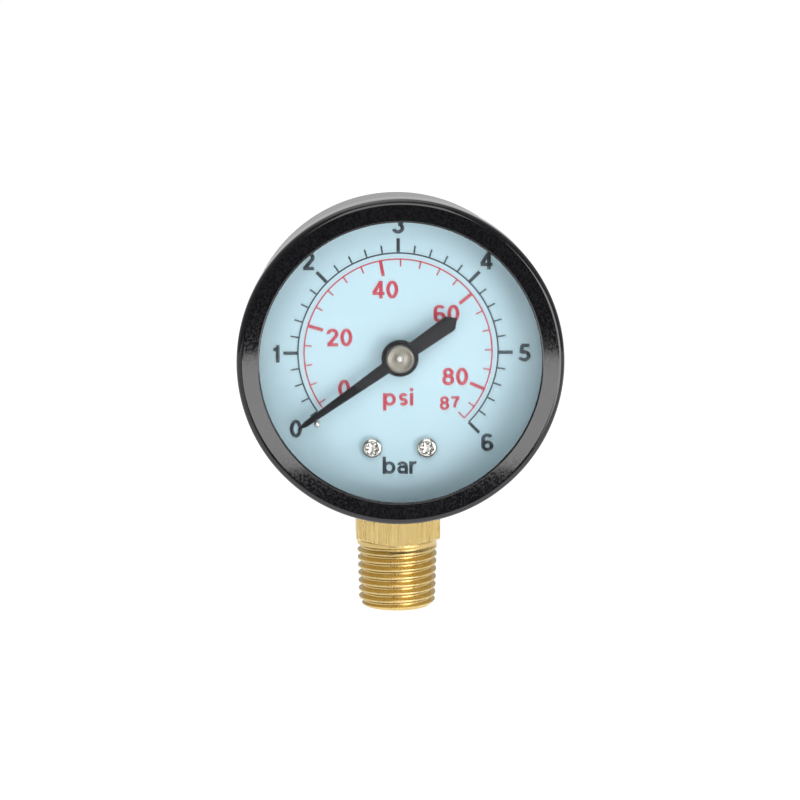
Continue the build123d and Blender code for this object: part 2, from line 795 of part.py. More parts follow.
stud_angle = radians(hairspring_end_angle)
stud_place_r = hairspring_outer_r + hairspring_strip / 2 + seat_gap + stud_r
stud_x = stud_place_r * cos(stud_angle)
stud_z = spindle_z + stud_place_r * sin(stud_angle)

with BuildPart() as movement_front_plate:
    with BuildSketch(front_plane(front_plate_rear_y)):
        with BuildSketch(front_plane(front_plate_rear_y), mode=Mode.PRIVATE) as front_ends:
            with Locations(*movement_points, *arbor_points, (stud_x, stud_z)):
                Circle(plate_edge_r)
        make_hull(front_ends.sketch_local.edges())
        with Locations(*movement_points):
            Circle(plate_screw_r + screw_clearance, mode=Mode.SUBTRACT)
        with Locations((stud_x, stud_z)):
            Circle(stud_r + seat_gap, mode=Mode.SUBTRACT)
        with Locations((0, spindle_z)):
            Circle(spindle_neck_r + pivot_gap, mode=Mode.SUBTRACT)
        with Locations((sector_x, sector_z)):
            Circle(sector_pivot_r + pivot_gap, mode=Mode.SUBTRACT)
    extrude(amount=plate_thickness)
movement_front_plate.part.label = "movement_front_plate"

with BuildPart() as movement_pillars:
    for x, z in movement_points:
        cylinder_between(back_plate_front_y, front_plate_rear_y, pillar_r, x, z)
        cylinder_between(back_plate_rear_y, back_plate_front_y, pillar_tenon_r, x, z)
        grip_y = front_plate_rear_y + plate_screw_grip + seat_gap
        cylinder_between(grip_y, front_plate_rear_y, plate_screw_r + seat_gap, x, z, Mode.SUBTRACT)
movement_pillars.part.label = "movement_pillars"


def slotted_screw(head_back_y, head_front_y, head_r, shank_r, tip_y, x, z):
    """A cheese-head screw along Y with its slot in the head's outer face."""
    toward = 1 if tip_y > head_back_y else -1
    with BuildPart(mode=Mode.PRIVATE) as screw:
        with BuildSketch(front_plane(head_back_y, x, z)):
            Circle(head_r)
        extrude(amount=head_back_y - head_front_y)
        with BuildSketch(front_plane(tip_y, x, z)):
            Circle(shank_r)
        extrude(amount=tip_y - head_back_y)
        with BuildSketch(front_plane(head_front_y + toward * slot_depth, x, z)):
            Rectangle(2 * head_r, slot_width)
        extrude(amount=toward * slot_depth, mode=Mode.SUBTRACT)
    return screw.part


with BuildPart() as plate_screws:
    for x, z in movement_points:
        add(
            slotted_screw(
                front_plate_front_y,
                front_plate_front_y - plate_screw_head_height,
                plate_screw_head_r,
                plate_screw_r,
                front_plate_rear_y + plate_screw_grip,
                x,
                z,
            )
        )
plate_screws.part.label = "plate_screws"

with BuildPart() as movement_screws:
    for x, z in foot_points:
        add(
            slotted_screw(
                back_plate_front_y,
                back_plate_front_y - movement_screw_head_height,
                movement_screw_head_r,
                movement_screw_r,
                movement_screw_tip_y,
                x,
                z,
            )
        )
movement_screws.part.label = "movement_screws"

with BuildPart() as case_screws:
    for x in (-case_screw_x, case_screw_x):
        add(
            slotted_screw(
                case_back_y,
                case_back_y + case_screw_head_height,
                case_screw_head_r,
                case_screw_r,
                case_screw_tip_y,
                x,
                case_screw_z,
            )
        )
case_screws.part.label = "case_screws"

# ---- hairspring, which takes the play out of the teeth ----
def spiral_points(offset):
    """Points on the hairspring's spiral, moved outwards by offset."""
    inner_r = collet_r + seat_gap + hairspring_strip / 2
    steps = hairspring_points_per_turn * hairspring_turns
    points = []
    for step in range(steps + 1):
        along = step / steps
        radius = inner_r + (hairspring_outer_r - inner_r) * along + offset
        angle = radians(hairspring_end_angle) - 2 * pi * hairspring_turns * (1 - along)
        points.append((radius * cos(angle), radius * sin(angle)))
    return points


with BuildPart() as hairspring:
    with BuildSketch(front_plane(hairspring_back_y, 0, spindle_z)):
        with BuildLine():
            outer_side = Spline(*spiral_points(hairspring_strip / 2))
            inner_side = Spline(*spiral_points(-hairspring_strip / 2))
            Line(outer_side @ 0, inner_side @ 0)
            Line(outer_side @ 1, inner_side @ 1)
        make_face()
    extrude(amount=hairspring_height)
hairspring.part.label = "hairspring"

with BuildPart() as hairspring_collet:
    collet_back_y = hairspring_back_y + (collet_height - hairspring_height) / 2
    collet_front_y = collet_back_y - collet_height
    cylinder_between(collet_back_y, collet_front_y, collet_r, 0, spindle_z)
    bore_r = spindle_body_r + seat_gap
    cylinder_between(collet_back_y, collet_front_y, bore_r, 0, spindle_z, Mode.SUBTRACT)
hairspring_collet.part.label = "hairspring_collet"

with BuildPart() as hairspring_stud:
    cylinder_between(collet_back_y, front_plate_front_y, stud_r, stud_x, stud_z)
hairspring_stud.part.label = "hairspring_stud"

pieces = [
    stem,
    case,
    bezel,
    window,
    window_gasket,
    blowout_plug,
    dial,
    dial_spacers,
    dial_screws,
    stop_pin,
    pointer,
    pointer_hub,
    pinion_shaft,
    sector,
    sector_shaft,
    link,
    sector_pin,
    tip_pin,
    bourdon_tube,
    tube_tip,
    movement_back_plate,
    movement_front_plate,
    movement_pillars,
    plate_screws,
    movement_screws,
    case_screws,
    hairspring,
    hairspring_collet,
    hairspring_stud,
]

os.makedirs("parts", exist_ok=True)
for piece in pieces:
    export_step(piece.part, "parts/" + piece.part.label + ".step")
print("spindle", (0, spindle_z), "sector", (round(sector_x, 4), round(sector_z, 4)))
print("link", (round(tail_x, 4), round(tail_z, 4)), "tip", (round(tail_x, 4), round(tip_pin_z, 4)))
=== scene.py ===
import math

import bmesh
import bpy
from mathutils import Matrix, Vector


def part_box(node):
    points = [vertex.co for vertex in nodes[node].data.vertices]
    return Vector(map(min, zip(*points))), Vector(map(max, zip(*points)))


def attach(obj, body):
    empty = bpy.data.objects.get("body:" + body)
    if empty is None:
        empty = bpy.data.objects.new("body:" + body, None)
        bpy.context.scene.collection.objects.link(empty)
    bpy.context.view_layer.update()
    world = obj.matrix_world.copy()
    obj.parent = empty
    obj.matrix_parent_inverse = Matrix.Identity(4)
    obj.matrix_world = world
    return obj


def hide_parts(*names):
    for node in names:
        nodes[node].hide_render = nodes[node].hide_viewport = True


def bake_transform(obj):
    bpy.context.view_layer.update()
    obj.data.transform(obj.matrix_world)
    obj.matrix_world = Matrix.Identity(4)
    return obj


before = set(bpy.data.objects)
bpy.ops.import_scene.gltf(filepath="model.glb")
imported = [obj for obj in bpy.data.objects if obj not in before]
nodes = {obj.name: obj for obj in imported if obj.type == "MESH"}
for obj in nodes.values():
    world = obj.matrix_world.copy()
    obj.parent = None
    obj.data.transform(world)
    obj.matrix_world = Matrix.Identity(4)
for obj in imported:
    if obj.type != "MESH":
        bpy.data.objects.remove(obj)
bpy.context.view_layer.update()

# %% [markdown]
# # A 50 mm pressure gauge
# The gauge is a drawn steel cup with a pressed-on bezel, a flat window, a printed dial and a brass
# stem. The working model gives every piece its place, so this lesson only makes the surfaces that
# an eye or a lens would find too plain: turned rings, a cut thread, printed ink, enamel and brass.
# All lengths are metres, so a helper turns millimetres into metres where a size is typed.


def mm(value):
    """A length in millimetres as metres."""
    return value * 0.001


# %% Places that the rest is measured from
bezel_low, bezel_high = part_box("bezel")
case_low, case_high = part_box("case")
window_low, window_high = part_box("window")
dial_low, dial_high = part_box("dial")
hub_low, hub_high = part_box("pointer_hub")
pointer_low, pointer_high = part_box("pointer")

case_x = (bezel_low.x + bezel_high.x) / 2
case_z = (bezel_low.z + bezel_high.z) / 2
bezel_r = (bezel_high.x - bezel_low.x) / 2
case_r = (case_high.x - case_low.x) / 2
window_r = (window_high.x - window_low.x) / 2
hub_r = (hub_high.x - hub_low.x) / 2
spindle_x = (hub_low.x + hub_high.x) / 2
spindle_z = (hub_low.z + hub_high.z) / 2
dial_face_y = dial_low.y
bezel_front_y = bezel_low.y
print("case centre", round(case_z, 5), "spindle", round(spindle_z, 5), "bezel radius", round(bezel_r, 5))

# %% [markdown]
# ## Camera
# A long lens stands a little above and a little to the left of the dial. It looks at a point under
# the bezel's centre, so that the stem has room at the foot of the picture.

# %% Camera
camera_distance = 0.450
camera_elevation = math.radians(8.3)
camera_azimuth = math.radians(1.9)
view_width = mm(128.824)
sensor_width = 36.0

bezel_centre = Vector((case_x, bezel_front_y, case_z))
to_camera = Vector((
    -math.sin(camera_azimuth) * math.cos(camera_elevation),
    -math.cos(camera_azimuth) * math.cos(camera_elevation),
    math.sin(camera_elevation),
))
camera_data = bpy.data.cameras.new("camera")
camera_data.sensor_width = sensor_width
camera_data.lens = sensor_width * camera_distance / view_width
camera_data.clip_start = 0.02
camera_data.clip_end = 30.0
camera = bpy.data.objects.new("camera", camera_data)
bpy.context.scene.collection.objects.link(camera)
camera.location = bezel_centre + to_camera * camera_distance
look_at = bezel_centre + Vector((-mm(0.16), 0, -mm(5.88)))
camera.rotation_euler = (look_at - camera.location).to_track_quat("-Z", "Y").to_euler()
bpy.context.scene.camera = camera
print("lens", round(camera_data.lens, 1), "mm")

# %% [markdown]
# ## Stage and light
# A product table: a pale floor well below the gauge, a pale surround that is brighter behind than
# in front, and one long low strip light that the glossy enamel picks up against a dark card. Soft
# lights stand to the right, to the left, high in front and overhead. The left one fills the dial's
# shadows and is kept out of glossy reflections.

# %% Stage and light
scene = bpy.context.scene
scene.view_settings.view_transform = "Standard"

world = bpy.data.worlds.new("studio")
scene.world = world
world.use_nodes = True
sky = world.node_tree.nodes
sky_links = world.node_tree.links
background = sky["Background"]
direction = sky.new("ShaderNodeTexCoord")
split = sky.new("ShaderNodeSeparateXYZ")
ramp = sky.new("ShaderNodeValToRGB")
ramp.color_ramp.interpolation = "EASE"
ramp.color_ramp.elements[0].position = 0.10
ramp.color_ramp.elements[0].color = (0.16, 0.165, 0.17, 1)
ramp.color_ramp.elements[1].position = 0.75
ramp.color_ramp.elements[1].color = (0.60, 0.60, 0.60, 1)
half = sky.new("ShaderNodeMath")
half.operation = "MULTIPLY_ADD"
half.inputs[1].default_value = 0.5
half.inputs[2].default_value = 0.5
sky_links.new(direction.outputs["Generated"], split.inputs[0])
sky_links.new(split.outputs["Y"], half.inputs[0])
sky_links.new(half.outputs[0], ramp.inputs[0])
seen = sky.new("ShaderNodeLightPath")
backdrop = sky.new("ShaderNodeMix")
backdrop.data_type = "RGBA"
backdrop.inputs["B"].default_value = (1.02, 1.02, 1.02, 1)
sky_links.new(seen.outputs["Is Camera Ray"], backdrop.inputs["Factor"])
sky_links.new(ramp.outputs["Color"], backdrop.inputs["A"])
sky_links.new(backdrop.outputs["Result"], background.inputs["Color"])
background.inputs["Strength"].default_value = 1.0


def stage_plane(name, size_x, size_y, place, turn, material):
    """A flat rectangle of the stage."""
    sheet = bmesh.new()
    bmesh.ops.create_grid(sheet, x_segments=1, y_segments=1, size=0.5)
    bmesh.ops.scale(sheet, vec=(size_x, size_y, 1), verts=sheet.verts)
    bmesh.ops.rotate(sheet, matrix=Matrix.Rotation(turn, 3, "X"), verts=sheet.verts)
    bmesh.ops.translate(sheet, vec=place, verts=sheet.verts)
    mesh = bpy.data.meshes.new(name)
    sheet.to_mesh(mesh)
    sheet.free()
    mesh.materials.append(material)
    plane = bpy.data.objects.new(name, mesh)
    scene.collection.objects.link(plane)
    return plane


def plain_material(name, color, roughness, emission=0.0):
    """A stage material: one colour, one roughness and a little light of its own."""
    material = bpy.data.materials.new(name)
    material.use_nodes = True
    shader = material.node_tree.nodes["Principled BSDF"]
    shader.inputs["Base Color"].default_value = (*color, 1)
    shader.inputs["Roughness"].default_value = roughness
    shader.inputs["Emission Color"].default_value = (*color, 1)
    shader.inputs["Emission Strength"].default_value = emission
    return material


floor_material = plain_material("floor_paper", (0.86, 0.86, 0.86), 0.9, emission=0.85)
stage_plane("floor", 12, 12, (0, 0, -0.42), 0, floor_material)
dark_material = plain_material("dark_card", (0.01, 0.01, 0.01), 0.9)
dark_card = stage_plane("dark_card", 0.90, 0.62, (0.05, -1.06, -0.10), math.radians(90), dark_material)
dark_card.visible_camera = False
dark_card.visible_diffuse = False


def area_light(name, place, aim, size_x, size_y, radiance):
    """A rectangular soft light that shines from place towards aim."""
    data = bpy.data.lights.new(name, "AREA")
    data.shape = "RECTANGLE"
    data.size = size_x
    data.size_y = size_y
    data.energy = radiance * math.pi * size_x * size_y
    light = bpy.data.objects.new(name, data)
    scene.collection.objects.link(light)
    light.location = place
    light.rotation_euler = (Vector(aim) - Vector(place)).to_track_quat("-Z", "Y").to_euler()
    light.visible_camera = False
    return light


area_light("low_strip", (0.05, -1.02, -0.1275), (0.05, 0, -0.1275), 0.60, 0.061, 5.0)
area_light("key_right", (0.50, -0.80, -0.02), (0, 0, 0.045), 0.5, 0.5, 5.0)
front_fill = area_light("front_fill", (-0.50, -0.80, -0.05), (0, 0, 0.045), 0.4, 0.4, 2.4)
front_fill.visible_glossy = False
area_light("front_high", (0.0, -0.70, 0.50), (0, 0, 0.045), 0.5, 0.5, 3.2)
area_light("top_soft", (-0.1, 0.1, 0.75), (0, 0, 0.045), 0.6, 0.6, 1.2)

# %% [markdown]
# ## Finishes
# Each finish is a Principled surface with its own nodes. What several finishes share, such as fine
# grain and drawn lines, is a small node group with named inputs that puts out a mask.

# %% Node-group helpers


def new_group(name, numbers, outputs):
    """An empty shader node group with float inputs (name, default) and float outputs."""
    group = bpy.data.node_groups.new(name, "ShaderNodeTree")
    for label, default in numbers:
        socket = group.interface.new_socket(label, in_out="INPUT", socket_type="NodeSocketFloat")
        socket.default_value = default
    for label in outputs:
        group.interface.new_socket(label, in_out="OUTPUT", socket_type="NodeSocketFloat")
    return group, group.nodes.new("NodeGroupInput"), group.nodes.new("NodeGroupOutput")


def math_node(tree, operation, a, b=None, clamp=False):
    """A Math node; a and b are numbers or sockets."""
    node = tree.nodes.new("ShaderNodeMath")
    node.operation = operation
    node.use_clamp = clamp
    for socket, value in zip(node.inputs, (a, b)):
        if value is None:
            continue
        if isinstance(value, (int, float)):
            socket.default_value = value
        else:
            tree.links.new(value, socket)
    return node.outputs[0]


# %% Shared effects: grain, drawn lines and turned rings
grain_group, group_in, group_out = new_group(
    "fine_grain", [("Scale", 900.0), ("Detail", 3.0), ("Contrast", 1.0)], ["Mask"]
)
place = grain_group.nodes.new("ShaderNodeTexCoord")
noise = grain_group.nodes.new("ShaderNodeTexNoise")
noise.inputs["Roughness"].default_value = 0.6
grain_group.links.new(place.outputs["Object"], noise.inputs["Vector"])
grain_group.links.new(group_in.outputs["Scale"], noise.inputs["Scale"])
grain_group.links.new(group_in.outputs["Detail"], noise.inputs["Detail"])
centred = math_node(grain_group, "SUBTRACT", noise.outputs[0], 0.5)
spread = math_node(grain_group, "MULTIPLY", centred, group_in.outputs["Contrast"])
grain_group.links.new(math_node(grain_group, "ADD", spread, 0.5, clamp=True), group_out.inputs["Mask"])

lines_group, group_in, group_out = new_group(
    "drawn_lines",
    [("Across X", 1.0), ("Across Y", 1.0), ("Along", 0.05), ("Scale", 2500.0), ("Contrast", 1.5)],
    ["Mask"],
)
place = lines_group.nodes.new("ShaderNodeTexCoord")
stretch = lines_group.nodes.new("ShaderNodeVectorMath")
stretch.operation = "MULTIPLY"
factors = lines_group.nodes.new("ShaderNodeCombineXYZ")
lines_group.links.new(group_in.outputs["Across X"], factors.inputs[0])
lines_group.links.new(group_in.outputs["Across Y"], factors.inputs[1])
lines_group.links.new(group_in.outputs["Along"], factors.inputs[2])
lines_group.links.new(place.outputs["Object"], stretch.inputs[0])
lines_group.links.new(factors.outputs[0], stretch.inputs[1])
noise = lines_group.nodes.new("ShaderNodeTexNoise")
noise.inputs["Detail"].default_value = 4.0
noise.inputs["Roughness"].default_value = 0.65
lines_group.links.new(stretch.outputs[0], noise.inputs["Vector"])
lines_group.links.new(group_in.outputs["Scale"], noise.inputs["Scale"])
centred = math_node(lines_group, "SUBTRACT", noise.outputs[0], 0.5)
spread = math_node(lines_group, "MULTIPLY", centred, group_in.outputs["Contrast"])
lines_group.links.new(math_node(lines_group, "ADD", spread, 0.5, clamp=True), group_out.inputs["Mask"])

rings_group, group_in, group_out = new_group(
    "turned_rings", [("Centre X", 0.0), ("Centre Z", 0.0), ("Scale", 9000.0), ("Contrast", 1.5)], ["Mask"]
)
place = rings_group.nodes.new("ShaderNodeTexCoord")
axes = rings_group.nodes.new("ShaderNodeSeparateXYZ")
rings_group.links.new(place.outputs["Object"], axes.inputs[0])
from_x = math_node(rings_group, "SUBTRACT", axes.outputs["X"], group_in.outputs["Centre X"])
from_z = math_node(rings_group, "SUBTRACT", axes.outputs["Z"], group_in.outputs["Centre Z"])
square_x = math_node(rings_group, "MULTIPLY", from_x, from_x)
square_z = math_node(rings_group, "MULTIPLY", from_z, from_z)
radius = math_node(rings_group, "SQRT", math_node(rings_group, "ADD", square_x, square_z))
noise = rings_group.nodes.new("ShaderNodeTexNoise")
noise.noise_dimensions = "1D"
noise.inputs["Detail"].default_value = 3.0
rings_group.links.new(radius, noise.inputs["W"])
rings_group.links.new(group_in.outputs["Scale"], noise.inputs["Scale"])
centred = math_node(rings_group, "SUBTRACT", noise.outputs[0], 0.5)
spread = math_node(rings_group, "MULTIPLY", centred, group_in.outputs["Contrast"])
rings_group.links.new(math_node(rings_group, "ADD", spread, 0.5, clamp=True), group_out.inputs["Mask"])
print("node groups:", [group.name for group in bpy.data.node_groups])

# %% [markdown]
# An edge mask finds the corners of a metal piece: the Bevel node rounds the normal near an edge, and
# where the rounded normal leaves the true one, the metal's colour is made brighter: a painted highlight
# standing in for the light that a rounded corner would catch.

# %% Shared effect: painted edge highlight
edge_group, group_in, group_out = new_group("painted_edge_highlight", [("Width", 0.0002), ("Strength", 2.0)], ["Mask"])
rounded = edge_group.nodes.new("ShaderNodeBevel")
rounded.samples = 4
edge_group.links.new(group_in.outputs["Width"], rounded.inputs["Radius"])
true_normal = edge_group.nodes.new("ShaderNodeNewGeometry")
dot = edge_group.nodes.new("ShaderNodeVectorMath")
dot.operation = "DOT_PRODUCT"
edge_group.links.new(rounded.outputs[0], dot.inputs[0])
edge_group.links.new(true_normal.outputs["Normal"], dot.inputs[1])
turned_away = math_node(edge_group, "SUBTRACT", 1.0, dot.outputs["Value"])
strong = math_node(edge_group, "MULTIPLY", turned_away, group_in.outputs["Strength"], clamp=True)
edge_group.links.new(strong, group_out.inputs["Mask"])


# %% Material helpers
def new_material(name, color, metallic, roughness):
    """A Principled material; returns it, its tree and its shader."""
    material = bpy.data.materials.new(name)
    material.use_nodes = True
    material.diffuse_color = (*color, 1)
    tree = material.node_tree
    shader = tree.nodes["Principled BSDF"]
    shader.inputs["Base Color"].default_value = (*color, 1)
    shader.inputs["Metallic"].default_value = metallic
    shader.inputs["Roughness"].default_value = roughness
    return material, tree, shader


def use_group(tree, group, **values):
    """Places a shared effect in a material and gives its mask."""
    node = tree.nodes.new("ShaderNodeGroup")
    node.node_tree = group
    for label, value in values.items():
        node.inputs[label.replace("_", " ")].default_value = value
    return node.outputs["Mask"]


def blend_colors(tree, mask, dark, light):
    """A colour between dark and light, chosen by a mask."""
    mix = tree.nodes.new("ShaderNodeMix")
    mix.data_type = "RGBA"
    tree.links.new(mask, mix.inputs["Factor"])
    for socket, value in ((mix.inputs["A"], dark), (mix.inputs["B"], light)):
        if isinstance(value, tuple):
            socket.default_value = (*value, 1)
        else:
            tree.links.new(value, socket)
    return mix.outputs["Result"]


def spread_between(tree, mask, low, high):
    """A number from low to high, chosen by a mask."""
    node = tree.nodes.new("ShaderNodeMapRange")
    node.inputs["To Min"].default_value = low
    node.inputs["To Max"].default_value = high
    tree.links.new(mask, node.inputs["Value"])
    return node.outputs["Result"]


def add_bump(tree, shader, height, distance, strength=1.0):
    """Fine relief from a mask."""
    bump = tree.nodes.new("ShaderNodeBump")
    bump.inputs["Distance"].default_value = distance
    bump.inputs["Strength"].default_value = strength
    tree.links.new(height, bump.inputs["Height"])
    tree.links.new(bump.outputs[0], shader.inputs["Normal"])


# %% [markdown]
# Stoving enamel on the case and the bezel: nearly black, glossy, with the faint orange-peel of a
# sprayed coat and a few dull specks of dust.

# %% Black enamel
enamel, tree, shader = new_material("black_enamel", (0.006, 0.006, 0.007), 0.0, 0.08)
peel = use_group(tree, grain_group, Scale=420.0, Detail=2.0, Contrast=1.0)
dust = use_group(tree, grain_group, Scale=2600.0, Detail=1.0, Contrast=5.0)
tree.links.new(
    blend_colors(tree, dust, (0.004, 0.004, 0.005), (0.009, 0.009, 0.010)),
    shader.inputs["Base Color"],
)
tree.links.new(spread_between(tree, dust, 0.03, 0.06), shader.inputs["Roughness"])
add_bump(tree, shader, peel, 0.000006, 0.15)

# %% [markdown]
# Dial lacquer: a cool white, a little uneven, nearly matt. The inks are printed on it: a blue-black
# and a red, with edges a hair proud of the lacquer.

# %% Dial lacquer and inks
lacquer, tree, shader = new_material("dial_lacquer", (0.45, 0.63, 0.705), 0.0, 0.42)
soft = use_group(tree, grain_group, Scale=90.0, Detail=2.0, Contrast=1.2)
tooth = use_group(tree, grain_group, Scale=5200.0, Detail=2.0, Contrast=1.0)
tree.links.new(blend_colors(tree, soft, (0.435, 0.62, 0.70), (0.46, 0.64, 0.71)), shader.inputs["Base Color"])
tree.links.new(spread_between(tree, tooth, 0.38, 0.48), shader.inputs["Roughness"])
add_bump(tree, shader, tooth, 0.000004, 0.2)

black_ink, tree, shader = new_material("black_ink", (0.012, 0.022, 0.032), 0.0, 0.45)
tooth = use_group(tree, grain_group, Scale=6000.0, Detail=2.0, Contrast=1.5)
tree.links.new(
    blend_colors(tree, tooth, (0.010, 0.020, 0.030), (0.016, 0.027, 0.038)),
    shader.inputs["Base Color"],
)
add_bump(tree, shader, tooth, 0.000003, 0.2)

red_ink, tree, shader = new_material("red_ink", (0.44, 0.035, 0.06), 0.0, 0.45)
tooth = use_group(tree, grain_group, Scale=6000.0, Detail=2.0, Contrast=1.5)
tree.links.new(
    blend_colors(tree, tooth, (0.42, 0.032, 0.055), (0.50, 0.045, 0.075)),
    shader.inputs["Base Color"],
)
add_bump(tree, shader, tooth, 0.000003, 0.2)

# %% [markdown]
# Brass comes in two looks here: the stem, flats and thread alike, with the lines of the drawn bar, and
# the small stamped pieces of the movement.

# %% Brass, steel, bronze and nickel
stem_brass, tree, shader = new_material("stem_brass", (0.80, 0.58, 0.26), 1.0, 0.30)
lines = use_group(tree, lines_group, Across_X=1.0, Across_Y=1.0, Along=0.03, Scale=2600.0, Contrast=2.6)
patches = use_group(tree, grain_group, Scale=260.0, Detail=3.0, Contrast=1.6)
# Painted highlight: the edge mask gives the stem's corners a pale brass colour where a rounded edge would
# catch the light.
edges = use_group(tree, edge_group, Width=0.00012, Strength=2.5)
drawn = blend_colors(tree, lines, (0.50, 0.37, 0.14), (0.80, 0.63, 0.31))
tarnished = blend_colors(tree, patches, (0.56, 0.40, 0.15), drawn)
tree.links.new(blend_colors(tree, edges, tarnished, (0.92, 0.80, 0.50)), shader.inputs["Base Color"])
tree.links.new(spread_between(tree, lines, 0.20, 0.44), shader.inputs["Roughness"])
add_bump(tree, shader, lines, 0.000012, 0.5)

movement_brass, tree, shader = new_material("movement_brass", (0.80, 0.62, 0.30), 1.0, 0.30)
grain = use_group(tree, grain_group, Scale=2200.0, Detail=3.0, Contrast=1.5)
# Painted highlight: the edge mask gives the corners of the movement pieces a pale brass colour.
edges = use_group(tree, edge_group, Width=0.0001, Strength=2.0)
rolled = blend_colors(tree, grain, (0.72, 0.54, 0.24), (0.84, 0.67, 0.34))
tree.links.new(blend_colors(tree, edges, rolled, (0.95, 0.82, 0.52)), shader.inputs["Base Color"])
tree.links.new(spread_between(tree, grain, 0.24, 0.40), shader.inputs["Roughness"])
add_bump(tree, shader, grain, 0.000004, 0.4)

steel, tree, shader = new_material("turned_steel", (0.60, 0.60, 0.61), 1.0, 0.25)
rings = use_group(tree, rings_group, Centre_X=spindle_x, Centre_Z=spindle_z, Scale=9000.0, Contrast=1.2)
grain = use_group(tree, grain_group, Scale=3000.0, Detail=3.0, Contrast=1.2)
tree.links.new(blend_colors(tree, rings, (0.52, 0.52, 0.53), (0.68, 0.68, 0.69)), shader.inputs["Base Color"])
tree.links.new(spread_between(tree, grain, 0.18, 0.34), shader.inputs["Roughness"])

bronze, tree, shader = new_material("tube_bronze", (0.70, 0.43, 0.22), 1.0, 0.32)
grain = use_group(tree, grain_group, Scale=700.0, Detail=4.0, Contrast=1.6)
tree.links.new(blend_colors(tree, grain, (0.60, 0.34, 0.16), (0.76, 0.50, 0.27)), shader.inputs["Base Color"])
tree.links.new(spread_between(tree, grain, 0.26, 0.42), shader.inputs["Roughness"])

nickel, tree, shader = new_material("bright_nickel", (0.78, 0.76, 0.71), 1.0, 0.16)
grain = use_group(tree, grain_group, Scale=2400.0, Detail=3.0, Contrast=1.4)
# Painted highlight: the edge mask gives the corners of the nickel pieces a near-white colour.
edges = use_group(tree, edge_group, Width=0.00008, Strength=2.0)
plated = blend_colors(tree, grain, (0.68, 0.66, 0.61), (0.82, 0.80, 0.76))
tree.links.new(blend_colors(tree, edges, plated, (0.95, 0.94, 0.90)), shader.inputs["Base Color"])
tree.links.new(spread_between(tree, grain, 0.10, 0.24), shader.inputs["Roughness"])
add_bump(tree, shader, grain, 0.000004, 0.3)

# Painted shade: the walls of the screw recesses get a near-black metal colour for the shade that falls into
# them.
recess_shade, tree, shader = new_material("recess_painted_shade", (0.10, 0.095, 0.09), 1.0, 0.5)
grain = use_group(tree, grain_group, Scale=2400.0, Detail=3.0, Contrast=1.4)
tree.links.new(
    blend_colors(tree, grain, (0.06, 0.057, 0.054), (0.20, 0.19, 0.18)),
    shader.inputs["Base Color"],
)

hub_metal, tree, shader = new_material("hub_metal", (0.30, 0.285, 0.25), 1.0, 0.42)
rings = use_group(tree, rings_group, Centre_X=spindle_x, Centre_Z=spindle_z, Scale=7000.0, Contrast=2.2)
tree.links.new(
    blend_colors(tree, rings, (0.17, 0.16, 0.135), (0.38, 0.36, 0.31)),
    shader.inputs["Base Color"],
)
tree.links.new(spread_between(tree, rings, 0.36, 0.50), shader.inputs["Roughness"])
add_bump(tree, shader, rings, 0.000015, 0.6)

# %% [markdown]
# The pointer is lacquered matt black, rubber is duller still, and the window is clear with a slight
# green-blue tint seen only through its thickness.

# %% Pointer lacquer, rubber and window
pointer_black, tree, shader = new_material("pointer_black", (0.008, 0.008, 0.010), 0.0, 0.5)
shader.inputs["Specular IOR Level"].default_value = 0.25
grain = use_group(tree, grain_group, Scale=3800.0, Detail=2.0, Contrast=1.4)
tree.links.new(
    blend_colors(tree, grain, (0.006, 0.006, 0.008), (0.012, 0.012, 0.014)),
    shader.inputs["Base Color"],
)
tree.links.new(spread_between(tree, grain, 0.42, 0.60), shader.inputs["Roughness"])
add_bump(tree, shader, grain, 0.000004, 0.3)

rubber, tree, shader = new_material("black_rubber", (0.018, 0.018, 0.018), 0.0, 0.72)
grain = use_group(tree, grain_group, Scale=1800.0, Detail=4.0, Contrast=1.6)
tree.links.new(
    blend_colors(tree, grain, (0.012, 0.012, 0.012), (0.030, 0.030, 0.030)),
    shader.inputs["Base Color"],
)
tree.links.new(spread_between(tree, grain, 0.62, 0.82), shader.inputs["Roughness"])
add_bump(tree, shader, grain, 0.000015, 0.5)

glass = bpy.data.materials.new("window_clear")
glass.use_nodes = True
tree = glass.node_tree
shader = tree.nodes["Principled BSDF"]
shader.inputs["Base Color"].default_value = (0.97, 0.99, 1.0, 1)
shader.inputs["Roughness"].default_value = 0.02
shader.inputs["IOR"].default_value = 1.45
shader.inputs["Transmission Weight"].default_value = 1.0
facing = tree.nodes.new("ShaderNodeLayerWeight")
facing.inputs["Blend"].default_value = 0.25
tree.links.new(spread_between(tree, facing.outputs["Facing"], 0.08, 0.6), shader.inputs["Alpha"])

# %% [markdown]
# ## Tools of the workshop
# Most pieces of a gauge are turned. A lathe is one operator here: a wire profile is spun about an
# axis and its seam is merged. Corners that a tool would break are then bevelled ring by ring.


# %% Turning, softening and finishing
def turned(profile, x, z, steps=192, closed=True):
    """Turns a wire of (depth, radius) points about the line along Y through x, z."""
    work = bmesh.new()
    points = [work.verts.new((x + radius, depth, z)) for depth, radius in profile]
    wire = [work.edges.new(pair) for pair in zip(points, points[1:])]
    if closed:
        wire.append(work.edges.new((points[-1], points[0])))
    bmesh.ops.spin(
        work, geom=points + wire, cent=(x, 0, z), axis=(0, 1, 0), angle=math.tau, steps=steps, use_merge=True
    )
    bmesh.ops.remove_doubles(work, verts=work.verts, dist=mm(0.001))
    bmesh.ops.recalc_face_normals(work, faces=work.faces)
    return work


def soften(work, width, segments=2, sharper_than=30, only=None):
    """Bevels every edge that turns sharper than an angle, or only those that a test picks."""
    sharp = [
        edge
        for edge in work.edges
        if len(edge.link_faces) == 2
        and edge.calc_face_angle(0) > math.radians(sharper_than)
        and (only is None or only(edge))
    ]
    bmesh.ops.bevel(
        work, geom=sharp, offset=width, segments=segments, affect="EDGES", profile=0.5, material=-1,
        clamp_overlap=True,
    )


